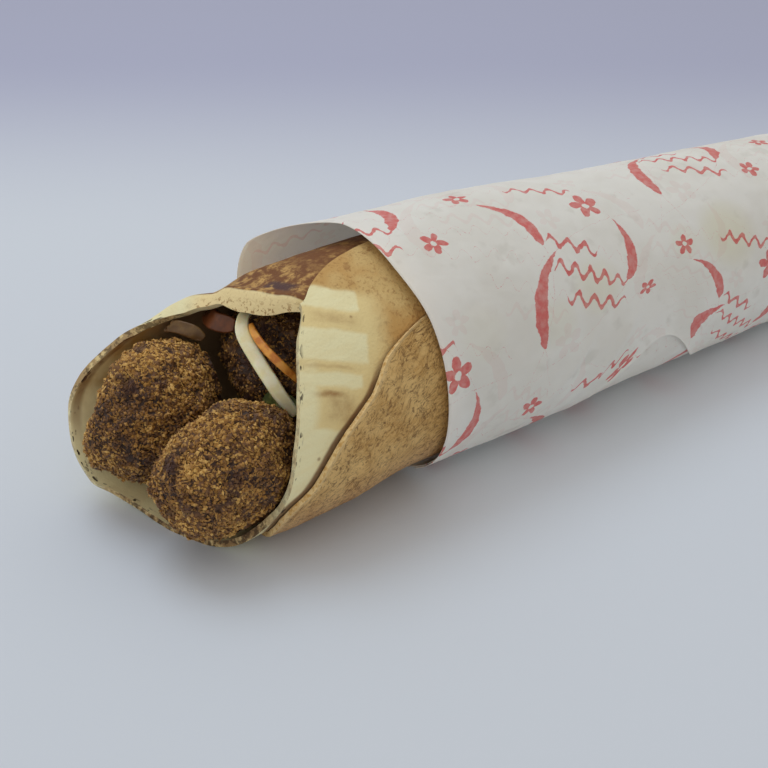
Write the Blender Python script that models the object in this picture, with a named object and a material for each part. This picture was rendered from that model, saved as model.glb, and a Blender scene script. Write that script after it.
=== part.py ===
"""Falafel wrap: a rolled flatbread full of falafel and salad, in a paper sleeve.

The wrap lies on its underside along +X, its open mouth towards -X.  Every shape below is
worked out in millimetres in the wrap's own frame (x along the roll, y to the back, z up from
the surface it lies on) and is turned into metres when the mesh is made.

Angles run round the roll in degrees: 0 is the top, 90 the near side (-Y), 180 the underside
and 270 the back (+Y).  A sheet that is rolled more than once keeps counting past 360.
"""
import math

import bmesh
import bpy
import numpy as np
from mathutils import Vector, noise

# ---- Driving dimensions, in millimetres and degrees ----
MM = 0.001
BREAD_TAIL_X = 202.0
SLEEVE_SHOULDER_X = 206.0     # where the sleeve starts to turn in
# The roll's box runs from the mouth's foremost rim to the tucked end of the sleeve.
BOX_CENTRE_X = 90.6
BOX_CENTRE_Y = 0.15

# Outer radius of the sleeve along x: it narrows towards the tail.
SLEEVE_RADIUS = ((36, 34.2), (60, 34.2), (120, 31.6), (200, 28.5), (206, 28.2))
SLEEVE_THICKNESS = 0.45
SLEEVE_LAP = 0.8              # how far apart two layers of paper lie, surface to surface
SLEEVE_START = -300.0         # the inner free edge
SLEEVE_END = 150.0            # the outer free edge, under the near side
SLEEVE_COLUMNS = 50
SLEEVE_ROW_X = (52, 68, 84, 94, 102, 109, 117, 125, 133, 146, 174, 206)
SLEEVE_RIM = ((-300, 43), (-254, 43), (-210, 42), (-180, 41), (-150, 36.5), (-120, 28), (-68, 20), (-50, 20.5),
              (-38, 26), (-25, 32), (-9, 36), (24, 36.2), (55, 38.6), (90, 39.4), (150, 42))
SLEEVE_PROUD = 3.6            # how far the loose rim stands off the bread at the back
SLEEVE_PROUD_ANGLE = -48.0
NOTCH_DEPTH = 52.0            # degrees by which the outer free edge climbs the near side
NOTCH_X = 117.0
NOTCH_WIDTH = 15.0
NOTCH_LIFT = 0.5              # how far that edge stands off the layer under it
FLAT_DEPTH = 0.5              # how much the roll is flattened where it rests

# The sleeve's tail is gathered into pleats that turn in over a round shoulder.
SHOULDER_RADIUS = 8.0
SHOULDER_ROWS = 3
TUCK_ROWS = 4
TUCK_HOLE = 2.4
TUCK_DISH = 3.0
PLEATS = 9
PLEAT_DEPTH = 1.1
TUCK_TWIST = 34.0

# Flatbread: one sheet, rolled a little more than once, its free end on top.
BREAD_INSET = 3.8             # outer surface of the flap below the sleeve's outer surface
BREAD_THICKNESS = 1.8
BREAD_LAP = 2.2
FLAP_ANGLE = 60.0             # where the flap has its full radius
BREAD_END = 420.0             # the sheet's inner end, tucked under the flap
BREAD_COLUMNS = 52
BREAD_ROWS = 14
# Rim of the mouth: how far along x the sheet starts at each angle.
BREAD_RIM = ((24, 11.5), (40, 6.4), (56, 2.8), (71, 0.2), (88, -2.2), (108, -4.3), (125, -7.1),
             (146, -12.5), (179, -21), (202, -24.8), (215, -28), (224, -31.8), (241, -33.4),
             (260, -31.7), (275, -27.5), (290, -18), (298, -10), (306, -3.5), (317, 1.3),
             (342, 4.4), (366, 7.0), (378, 10.0), (392, 15.0), (420, 19))
# The flap's free edge: the angle it reaches at each x.
FLAP_EDGE = ((11.5, 24), (16.5, 17), (20.7, 11.7), (26.7, 6), (31, 3.8), (38.4, 1.2), (60, 0))
# Height of the roll's axis: the bread sags to the surface in front of the sleeve.
BREAD_AXIS = ((-35, 29.9), (-12, 30.2), (5, 31.6), (45, 32.95), (60, 32.95))
LIP_ANGLE = 349.0             # the top of the mouth is pressed flat, square to this angle
LIP_CHORD = 24.9
LIP_START_X = 5.0
LIP_END_X = 44.0
LIP_CURL = 4.4                # the lip's edge turns down and inwards
LIP_CURL_LENGTH = 3.6
LIP_BEAD = 1.2                # the plump roll just behind that edge
LIP_BEAD_X = 2.4
LIP_CORNER = 1.2              # how softly the flat lip turns into the round of the roll
LIP_SLACK = (320, 14, 0.48)   # the turned edge is weaker here: angle, width, share
LIP_TO_ANGLES = (372, 392)    # it flattens out again under the flap
LIP_FROM_ANGLES = (292, 310)  # the lip's turned edge starts between these
# Bulges of the mouth: angle, width in degrees, height, and where along x each fades out.
MOUTH_BULGES = ((258, 36, 3.0, 16, -16), (148, 26, 2.6, 0, -14), (219, 17, 2.6, 2, -20),
                (304, 16, 1.6, 22, -5), (321, 15, -3.0, 15, 6))

# The near flank swells out in front of the sleeve: the flap and the outer ply on it follow.
FLANK_ANGLE = 130.0
FLANK_WIDTH = 45.0
FLANK_START_X = (-14, 2)
FLANK_END_X = (14, 38)
BREAD_BULGE = 2.65

# Toasted outer ply, wrapped round the near side and the underside.
PLY_GAP = 0.35
PLY_THICKNESS = 1.3
PLY_INSET = 1.95              # its outer surface below the sleeve's outer surface
PLY_BULGE = 2.2
PLY_STAND_OFF = 0.25          # its edge lifts off the sheet under it
PLY_COLUMNS = 24
PLY_ROWS = 13
PLY_EDGE = ((48, 43), (50.5, 38), (57, 29.3), (61.5, 25.3), (68.5, 22), (73.5, 19.5), (77.5, 16.4),
            (86.5, 9.8), (99, 3.8), (105.5, 1.2), (109, -0.9), (115, -3.9), (122, -5.6), (132, -6),
            (142, -5), (160, -3), (180, -1), (200, 3), (215, 11), (228, 26), (235, 45))

# Filling.
CLEARANCE = 0.4
CORE_FRONT_X = 28.0
CORE_SEGMENTS = 28
CORE_RINGS = 14
CORE_END_SPREAD = 0.78        # share of the core's width that its flattened ends take up
CORE_END_ROUNDING = 4.5
CORE_BELT = 80.0
CORE_BUMP = 2.2               # how uneven the filling's front is
CORE_LUMPS = 2.4
CORE_LUMPS_ALONG = 0.04
CORE_SLACK = 0.8
CORE_MARGIN = 1.2

#            name         centre (x, y, z)      half sizes         detail  seed
FALAFELS = (("falafel_1", (-14.8, 17.4, 24.4), (17.8, 15.6, 18.2), 4, 3.1),
            ("falafel_2", (-11.9, -12.8, 22.4), (16.9, 15.6, 17.2), 4, 11.7),
            ("falafel_3", (19.0, 8.0, 33.5), (15.5, 18.0, 16.0), 3, 23.4))
CRAG_DEPTH = 1.0
LUMP_DEPTH = 1.3
# Where a falafel was pressed in or bulges out: a direction from its centre, how far, and how wide in radians.
PRESSED = {"falafel_1": (((-0.62, 0.66, 0.42), -5.8, 0.6), ((-0.81, 0.28, -0.51), 3.4, 0.4),
                         ((0.78, -0.11, 0.60), 1.8, 0.4)),
           "falafel_2": (((-0.30, 0.69, 0.66), -7.0, 0.5), ((0.83, -0.21, 0.51), 3.6, 0.4),
                         ((-0.90, 0.30, -0.10), 1.4, 0.35)),
           "falafel_3": ()}

# Strips and leaves: the way each runs, its width, thickness, steps along and across, and waviness.
STRIPS = {
    "onion_strip": (((9.6, 8.8, 49.2), (7.2, 7.6, 48.6), (5.0, 5.0, 46.3), (4.3, 0.1, 42.4),
                     (5, -6.6, 38.1), (6.5, -10.1, 34.5), (9, -12.7, 30.3)), 3.7, 1.3, 20, 2, 0.0),
    "carrot_strip": (((7.6, 4.0, 47.4), (6.8, 1.4, 46.9), (6.5, -3.6, 45.4), (8, -8.4, 42.6),
                      (11.5, -10.3, 37.9)), 2.2, 1.7, 16, 1, 0.0),
    "tomato_piece": (((6, 22, 43.0), (4.2, 17.5, 44.4), (4.4, 13, 45.4), (6.5, 9.2, 45.8)),
                     5.0, 2.0, 8, 3, 0.0),
    "lettuce_leaf": (((6.2, -2.4, 29.2), (7.8, -6.0, 31.0), (9.0, -9.0, 31.0), (10.0, -11.0, 28.6)),
                     5.0, 0.9, 12, 5, 0.8),
    "cabbage_shred": (((-6.5, 25.5, 42.6), (-4, 21.6, 43.2), (-1.8, 18.2, 42.8), (0.2, 16.6, 40.6)),
                      3.6, 1.0, 8, 2, 0.6),
}
STRIP_FACING = (-0.5, -0.7, 0.5)


def smooth_curve(points):
    """A curve through the points with no overshoot, held level past its ends."""
    xs, ys = np.array(points, dtype=float).T
    steps = np.diff(xs)
    slopes = np.diff(ys) / steps
    tangents = np.zeros_like(ys)
    for i in range(1, len(xs) - 1):
        if slopes[i - 1] * slopes[i] > 0:
            tangents[i] = 2 * slopes[i - 1] * slopes[i] / (slopes[i - 1] + slopes[i])

    def at(x):
        x = min(max(x, xs[0]), xs[-1])
        i = min(int(np.searchsorted(xs, x, side="right")) - 1, len(steps) - 1)
        t = (x - xs[i]) / steps[i]
        return ((1 + 2 * t) * (1 - t) ** 2 * ys[i] + t * (1 - t) ** 2 * steps[i] * tangents[i]
                + t * t * (3 - 2 * t) * ys[i + 1] + t * t * (t - 1) * steps[i] * tangents[i + 1])
    return at


def smooth_step(low, high, x):
    t = min(max((x - low) / (high - low), 0.0), 1.0)
    return t * t * (3 - 2 * t)


def bell(x, centre, width):
    return math.exp(-((x - centre) / width) ** 2)


def soft_min(a, b, softness):
    h = min(max(0.5 + 0.5 * (b - a) / softness, 0.0), 1.0)
    return b + (a - b) * h - softness * h * (1 - h)


sleeve_radius = smooth_curve(SLEEVE_RADIUS)
sleeve_rim = smooth_curve(SLEEVE_RIM)
bread_rim = smooth_curve(BREAD_RIM)
flap_edge = smooth_curve(FLAP_EDGE)
bread_axis = smooth_curve(BREAD_AXIS)
ply_edge = smooth_curve(PLY_EDGE)
UNDERSIDE_INSET = SLEEVE_LAP * (SLEEVE_END + 180.0) / 360.0


def axis_height(x):
    """Height of the roll's axis where the sleeve holds it."""
    return sleeve_radius(x) - UNDERSIDE_INSET - FLAT_DEPTH


def on_roll(x, angle, radius, height):
    a = math.radians(angle)
    return Vector((x, -radius * math.sin(a), height + radius * math.cos(a)))


# ---- The rolled sheets ----
def flank(angle, x):
    """How much of the near flank's swelling there is, from 0 to 1."""
    along = smooth_step(*FLANK_START_X, x) * (1 - smooth_step(*FLANK_END_X, x))
    return bell(angle, FLANK_ANGLE, FLANK_WIDTH) * along


def bread_radius(angle, x):
    """Outer surface of the flatbread, from the flap on the outside to the end tucked inside."""
    radius = sleeve_radius(x) - BREAD_INSET - BREAD_LAP * (angle - FLAP_ANGLE) / 360.0
    for centre, width, height, fade, full in MOUTH_BULGES:
        radius += height * bell(angle, centre, width) * (1 - smooth_step(full, fade, x))
    radius += BREAD_BULGE * flank(angle, x)
    from_lip = angle - LIP_ANGLE
    if abs(from_lip) < 75:
        chord = LIP_CHORD + (radius + 4 - LIP_CHORD) * smooth_step(LIP_START_X, LIP_END_X, x)
        radius = soft_min(radius, chord / math.cos(math.radians(from_lip)), LIP_CORNER)
    return radius


def bread_height(x):
    return bread_axis(x) if x < BREAD_AXIS[-1][0] else axis_height(x)


def bread_point(angle, x, lift=0.0):
    """A point of the flatbread's outer surface, resting on the outer ply or on the surface."""
    to_rim = x - bread_rim(angle)
    curl = LIP_CURL * max(1 - to_rim / LIP_CURL_LENGTH, 0.0) ** 2
    curl -= LIP_BEAD * bell(to_rim, LIP_BEAD_X, LIP_BEAD_X)
    curl *= smooth_step(*LIP_FROM_ANGLES, angle) * (1 - smooth_step(*LIP_TO_ANGLES, angle))
    curl *= 1 - LIP_SLACK[2] * bell(angle, *LIP_SLACK[:2])
    point = on_roll(x, angle, bread_radius(angle, x) - curl + lift, bread_height(x))
    point.z = max(point.z, ply_floor(x) + (PLY_THICKNESS + PLY_GAP) * smooth_step(-13, -6, x))
    return point


def ply_floor(x):
    """Lowest height of the outer ply: the surface in front of the sleeve, the paper inside it."""
    return (SLEEVE_THICKNESS + CLEARANCE) * smooth_step(10, 30, x)


def ply_point(angle, x, lift=0.0):
    radius = sleeve_radius(x) - PLY_INSET + lift
    radius += PLY_BULGE * flank(angle, x)
    point = on_roll(x, angle, radius, bread_height(x))
    point.z = max(point.z, ply_floor(x))
    return point


def even_along(outline, low, high, count):
    """Angles from low to high that split the rolled outline's length into equal steps."""
    angles = np.linspace(low, high, 400)
    rim = [on_roll(outline(a), a, 31.0, 0.0) for a in angles]
    lengths = np.cumsum([0.0] + [(q - p).length for p, q in zip(rim, rim[1:])])
    return np.interp(np.linspace(0, lengths[-1], count + 1), lengths, angles)


def toward_tail(v):
    """Rows crowd at the rim and open up towards the tail."""
    return 0.04 * v + 0.96 * v ** 2.2


def sheet(name, columns, rows, place, thickness):
    """A grid of columns by rows, placed point by point, with its thickness on the inside."""
    bm = bmesh.new()
    bmesh.ops.create_grid(bm, x_segments=columns, y_segments=rows, size=0.5)
    for vert in bm.verts:
        vert.co = place(vert.co.x + 0.5, vert.co.y + 0.5) * MM
    bmesh.ops.triangulate(bm, faces=bm.faces[:], quad_method="FIXED")
    obj = finish(bm, name)
    solid = obj.modifiers.new("thickness", "SOLIDIFY")
    solid.thickness = thickness * MM
    solid.offset = -1.0
    solid.use_even_offset = True
    return obj


def make_flatbread():
    angles = even_along(bread_rim, FLAP_EDGE[0][1], BREAD_END, BREAD_COLUMNS)

    def place(u, v):
        angle = angles[round(u * BREAD_COLUMNS)]
        start = bread_rim(angle)
        x = start + (BREAD_TAIL_X - start) * toward_tail(v)
        angle += (flap_edge(x) - FLAP_EDGE[0][1]) * (1 - u) ** 5
        return bread_point(angle, x)
    return sheet("flatbread", BREAD_COLUMNS, BREAD_ROWS, place, BREAD_THICKNESS)


def make_outer_ply():
    angles = even_along(ply_edge, PLY_EDGE[0][0], PLY_EDGE[-1][0], PLY_COLUMNS)

    def place(u, v):
        angle = angles[round(u * PLY_COLUMNS)]
        start = ply_edge(angle)
        x = start + (BREAD_TAIL_X - start) * toward_tail(v)
        loose = max(1 - (x - start) / 8.0, 0.0) ** 2 * (1 - smooth_step(24, 32, x))
        return ply_point(angle, x, PLY_STAND_OFF * loose)
    return sheet("flatbread_outer_ply", PLY_COLUMNS, PLY_ROWS, place, PLY_THICKNESS)


def sleeve_tail(w, angle, inset):
    """The sleeve past its shoulder: w runs from 0 at the shoulder to 1 at the centre of the tuck."""
    full = sleeve_radius(SLEEVE_SHOULDER_X)
    flat = full - SHOULDER_RADIUS
    turned = SHOULDER_ROWS / (SHOULDER_ROWS + TUCK_ROWS)
    if w <= turned:
        bend = math.radians(90.0) * w / turned
        radius = flat + (SHOULDER_RADIUS - inset) * math.cos(bend)
        x = SLEEVE_SHOULDER_X + (SHOULDER_RADIUS - inset) * math.sin(bend)
    else:
        t = (w - turned) / (1 - turned)
        radius = flat + (TUCK_HOLE - flat) * t
        x = SLEEVE_SHOULDER_X + SHOULDER_RADIUS - inset - TUCK_DISH * smooth_step(0, 1, t)
    pleat = PLEAT_DEPTH * math.sin(math.pi * w) ** 2 * math.cos(math.radians(angle * PLEATS))
    facing = math.pi / 2 * min(w / turned, 1.0)
    x += pleat * math.sin(facing)
    radius += pleat * math.cos(facing)
    return x, radius, angle + TUCK_TWIST * w * w


def make_sleeve():
    straight_rows = len(SLEEVE_ROW_X)
    rows = straight_rows + SHOULDER_ROWS + TUCK_ROWS

    def place(u, v):
        angle = SLEEVE_START + (SLEEVE_END - SLEEVE_START) * u
        inset = SLEEVE_LAP * (SLEEVE_END - angle) / 360.0
        row = round(v * rows)
        if row > straight_rows:
            w = (row - straight_rows) / (SHOULDER_ROWS + TUCK_ROWS)
            x, radius, angle = sleeve_tail(w, angle, inset)
            height = axis_height(SLEEVE_SHOULDER_X)
        else:
            x = SLEEVE_ROW_X[row - 1] if row else sleeve_rim(angle)
            outer = max((angle - 60.0) / (SLEEVE_END - 60.0), 0.0)
            angle -= NOTCH_DEPTH * outer * bell(x, NOTCH_X, NOTCH_WIDTH)
            radius = sleeve_radius(x) - inset + NOTCH_LIFT * outer * bell(x, NOTCH_X, 1.6 * NOTCH_WIDTH)
            radius += SLEEVE_PROUD * bell(angle, SLEEVE_PROUD_ANGLE, 30) * bell(x, 14, 26)
            height = axis_height(x)
        point = on_roll(x, angle, radius, height)
        point.z = max(point.z, 0.0)
        return point
    return sheet("paper_sleeve", SLEEVE_COLUMNS, rows, place, SLEEVE_THICKNESS)


# ---- The filling ----
def bore_radius(angle, x):
    """Clear radius inside the rolled bread at an angle of the roll."""
    return bread_radius(FLAP_ANGLE + (angle - FLAP_ANGLE) % 360.0, x) - BREAD_THICKNESS - CLEARANCE


def keep_in_bore(point, margin=0.3):
    """Pull a point in until it clears the bread round it."""
    height = bread_height(point.x)
    y, z = point.y, point.z - height
    angle = math.degrees(math.atan2(-y, z)) % 360.0
    radius = math.hypot(y, z)
    limit = min(bore_radius(angle + turn, point.x) for turn in (-4.0, 0.0, 4.0)) - margin
    if radius > limit:
        point.y *= limit / radius
        point.z = height + z * limit / radius
    point.z = max(point.z, BREAD_THICKNESS + CLEARANCE)
    return point


def keep_apart(point, centre, other):
    """Press a point flat against the plane halfway between two falafels."""
    across = Vector(other) - Vector(centre)
    middle = (Vector(other) + Vector(centre)) / 2
    across.normalize()
    beyond = (point - middle).dot(across) + CLEARANCE / 2
    if beyond > 0:
        point -= across * beyond
    return point


def make_falafel(name, centre, half_sizes, detail, seed):
    bm = bmesh.new()
    bmesh.ops.create_icosphere(bm, subdivisions=detail, radius=1.0)
    neighbours = [other for other_name, other, *_ in FALAFELS if other_name != name]
    for vert in bm.verts:
        out = vert.co.normalized()
        place = out * 1.0 + Vector((seed, 0, 0))
        swell = LUMP_DEPTH * noise.noise(place * 1.6) + CRAG_DEPTH * noise.noise(place * 4.5)
        swell += 0.5 * CRAG_DEPTH * noise.noise(place * 9.0)
        for direction, height, width in PRESSED[name]:
            swell += height * bell(out.angle(Vector(direction)), 0.0, width)
        point = Vector(centre) + Vector([o * (h + swell) for o, h in zip(out, half_sizes)])
        for other in neighbours:
            point = keep_apart(point, centre, other)
        if name == "falafel_3":
            point.x = min(point.x, CORE_FRONT_X - CLEARANCE)
        vert.co = keep_in_bore(point) * MM
    return finish(bm, name)


def make_core():
    """The packed filling, from behind the falafels that show to the end of the bread."""
    bm = bmesh.new()
    bmesh.ops.create_uvsphere(bm, u_segments=CORE_SEGMENTS, v_segments=CORE_RINGS, radius=1.0)
    end_height = math.sqrt(1 - CORE_END_SPREAD ** 2)
    for vert in bm.verts:
        # The ball's two caps become the core's ends, and its belt the long side between them.
        along = vert.co.z
        across = min(math.hypot(vert.co.x, vert.co.y) / CORE_END_SPREAD, 1.0)
        angle = math.degrees(math.atan2(vert.co.y, vert.co.x)) % 360.0
        from_end = CORE_END_ROUNDING * across ** 4 + CORE_BELT * max(end_height - abs(along), 0.0)
        x = CORE_FRONT_X + from_end if along < 0 else BREAD_TAIL_X - from_end
        turn = math.radians(angle)
        lumps = noise.noise(Vector((CORE_LUMPS * across * math.cos(turn),
                                    CORE_LUMPS * across * math.sin(turn), CORE_LUMPS_ALONG * x)))
        if along < -0.5:
            x += CORE_BUMP * (1 + lumps)
        radius = (bore_radius(angle, x) - CORE_SLACK - abs(lumps)) * across
        vert.co = keep_in_bore(on_roll(x, angle, radius, bread_height(x)), CORE_MARGIN) * MM
    bmesh.ops.recalc_face_normals(bm, faces=bm.faces[:])
    return finish(bm, "filling")


def path_points(path, count):
    """Evenly spread points on a smooth curve through a path's own points."""
    knots = [Vector(p) for p in path]
    reach = np.cumsum([0.0] + [(b - a).length for a, b in zip(knots, knots[1:])])
    curves = [smooth_spline(reach, [k[i] for k in knots]) for i in range(3)]
    return [Vector([curve(s) for curve in curves]) for s in np.linspace(0, reach[-1], count + 1)]


def smooth_spline(xs, ys):
    """A Catmull-Rom curve through uneven steps."""
    tangents = np.gradient(np.array(ys, dtype=float), np.array(xs, dtype=float))

    def at(x):
        i = min(int(np.searchsorted(xs, x, side="right")) - 1, len(xs) - 2)
        step = xs[i + 1] - xs[i]
        t = (x - xs[i]) / step
        return ((1 + 2 * t) * (1 - t) ** 2 * ys[i] + t * (1 - t) ** 2 * step * tangents[i]
                + t * t * (3 - 2 * t) * ys[i + 1] + t * t * (t - 1) * step * tangents[i + 1])
    return at


def make_strip(name):
    """A flat strip or leaf along its path, its broad side towards the mouth."""
    path, width, thickness, steps, across, wave = STRIPS[name]
    line = path_points(path, steps)

    def place(u, v):
        i = round(u * steps)
        ahead = (line[min(i + 1, steps)] - line[max(i - 1, 0)]).normalized()
        side = ahead.cross(Vector(STRIP_FACING)).normalized()
        front = side.cross(ahead).normalized()
        taper = 1.0 - 0.45 * abs(2 * u - 1) ** 4
        ripple = wave * math.sin(u * 9.0 + v * 4.0) * (v - 0.3)
        point = line[i] + side * (v - 0.5) * width * taper + front * ripple
        return keep_in_bore(point, thickness + 0.5)
    return sheet(name, steps, across, place, thickness)


# ---- Mesh, material and placing ----
def finish(bm, name):
    mesh = bpy.data.meshes.new(name)
    bm.to_mesh(mesh)
    bm.free()
    obj = bpy.data.objects.new(name, mesh)
    bpy.context.scene.collection.objects.link(obj)
    mesh.shade_smooth()
    return obj


def paint(obj, colour, roughness):
    material = bpy.data.materials.new(obj.name)
    material.use_nodes = True
    shader = material.node_tree.nodes["Principled BSDF"]
    shader.inputs["Base Color"].default_value = (*colour, 1.0)
    shader.inputs["Roughness"].default_value = roughness
    shader.inputs["Metallic"].default_value = 0.0
    obj.data.materials.append(material)
    return obj


def clear_scene():
    for obj in list(bpy.data.objects):
        bpy.data.objects.remove(obj, do_unlink=True)


def main():
    clear_scene()
    pieces = [
        paint(make_flatbread(), (0.62, 0.43, 0.20), 0.8),
        paint(make_outer_ply(), (0.45, 0.25, 0.10), 0.8),
        paint(make_sleeve(), (0.78, 0.78, 0.80), 0.55),
        paint(make_core(), (0.10, 0.05, 0.025), 0.85),
        paint(make_strip("onion_strip"), (0.66, 0.68, 0.52), 0.35),
        paint(make_strip("carrot_strip"), (0.75, 0.32, 0.06), 0.4),
        paint(make_strip("tomato_piece"), (0.42, 0.11, 0.05), 0.35),
        paint(make_strip("lettuce_leaf"), (0.10, 0.16, 0.05), 0.45),
        paint(make_strip("cabbage_shred"), (0.40, 0.44, 0.22), 0.45),
    ]
    for falafel in FALAFELS:
        pieces.append(paint(make_falafel(*falafel), (0.13, 0.055, 0.02), 0.85))
    wrap = bpy.data.objects.new("wrap_frame", None)
    wrap.location = (-BOX_CENTRE_X * MM, -BOX_CENTRE_Y * MM, 0.0)
    bpy.context.scene.collection.objects.link(wrap)
    for piece in pieces:
        piece.parent = wrap


main()
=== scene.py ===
import math
import random
from bisect import bisect_right

import bmesh
import bpy
from mathutils import Matrix, Vector, noise


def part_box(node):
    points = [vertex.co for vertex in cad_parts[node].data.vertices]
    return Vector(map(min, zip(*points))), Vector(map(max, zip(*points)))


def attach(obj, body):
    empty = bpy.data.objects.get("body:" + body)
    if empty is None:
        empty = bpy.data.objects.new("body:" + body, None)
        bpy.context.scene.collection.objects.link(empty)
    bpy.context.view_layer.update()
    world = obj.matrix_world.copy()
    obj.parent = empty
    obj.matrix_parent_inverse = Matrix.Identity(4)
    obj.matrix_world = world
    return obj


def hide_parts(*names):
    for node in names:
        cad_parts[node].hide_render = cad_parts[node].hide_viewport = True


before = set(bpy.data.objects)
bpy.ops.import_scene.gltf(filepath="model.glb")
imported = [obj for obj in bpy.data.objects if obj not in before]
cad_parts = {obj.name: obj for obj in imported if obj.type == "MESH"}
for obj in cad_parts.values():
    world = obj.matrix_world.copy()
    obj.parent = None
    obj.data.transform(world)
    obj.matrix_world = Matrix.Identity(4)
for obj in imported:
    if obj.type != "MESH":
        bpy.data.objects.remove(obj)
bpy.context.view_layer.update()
print("frame loaded with", len(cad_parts), "solids")

# The roll is worked out in its own millimetres: x along it, y to the back, z up from the table.
# Angles run round it in degrees: 0 on top, 90 at the near side, 180 underneath.
mm = 0.001
roll = {
    "breadTail": 202.0,
    "acrossMiddle": 0.15,
    "radius": ((36, 34.2), (60, 34.2), (120, 31.6), (200, 28.5), (206, 28.2)),   # the sleeve's outside
    "flattened": 0.5,           # how much it is pressed flat where it rests
    "lap": 0.8,                 # between two layers of paper in the solid
    "flatWidth": 450.0,         # what one unit of a sheet's own map stands for, round the roll in degrees
    "flatLength": 250.0,        # and along it in millimetres
    "breadSheet": 31.0,         # how far out the bread and the paper lie where they are laid flat
    "paperSheet": 33.0,
    "rimRows": (0.04, 2.2),     # how a sheet's rows crowd towards its rim: an even share, and a power
}
rollMiddle = roll["breadTail"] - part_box("flatbread")[1].x / mm


def smoothCurve(points):
    # a curve through the points with no overshoot, held level past its ends
    xs = [float(p[0]) for p in points]
    ys = [float(p[1]) for p in points]
    last = len(xs) - 1
    slopes = [(ys[i + 1] - ys[i]) / (xs[i + 1] - xs[i]) for i in range(last)]
    tangents = [0.0] * (last + 1)
    for i in range(1, last):
        if slopes[i - 1] * slopes[i] > 0:
            tangents[i] = 2 * slopes[i - 1] * slopes[i] / (slopes[i - 1] + slopes[i])

    def at(x):
        x = min(max(x, xs[0]), xs[-1])
        i = min(bisect_right(xs, x) - 1, last - 1)
        step = xs[i + 1] - xs[i]
        t = (x - xs[i]) / step
        return ((1 + 2 * t) * (1 - t) ** 2 * ys[i] + t * (1 - t) ** 2 * step * tangents[i]
                + t * t * (3 - 2 * t) * ys[i + 1] + t * t * (t - 1) * step * tangents[i + 1])
    return at


def smoothStep(low, high, x):
    t = min(max((x - low) / (high - low), 0.0), 1.0)
    return t * t * (3 - 2 * t)


def bell(x, centre, width):
    return math.exp(-((x - centre) / width) ** 2)


def softMin(a, b, softness):
    h = min(max(0.5 + 0.5 * (b - a) / softness, 0.0), 1.0)
    return b + (a - b) * h - softness * h * (1 - h)


def onRoll(x, angle, radius, height):
    turn = math.radians(angle)
    return Vector((x, -radius * math.sin(turn), height + radius * math.cos(turn)))


def flatSpot(x, angle, radius, shift=0.0):
    # a place for noise that runs on over the seam of a sheet
    turn = math.radians(angle)
    return Vector((x, radius * math.sin(turn), radius * math.cos(turn) + shift))


def placed(point):
    # from the roll's millimetres to the part's metres
    return Vector((point.x - rollMiddle, point.y - roll["acrossMiddle"], point.z)) * mm


def shade(red, green, blue):
    # a screen colour as the linear one that shaders use
    parts = [c / 255 for c in (red, green, blue)]
    return tuple(c / 12.92 if c <= 0.04045 else ((c + 0.055) / 1.055) ** 2.4 for c in parts) + (1.0,)


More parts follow.
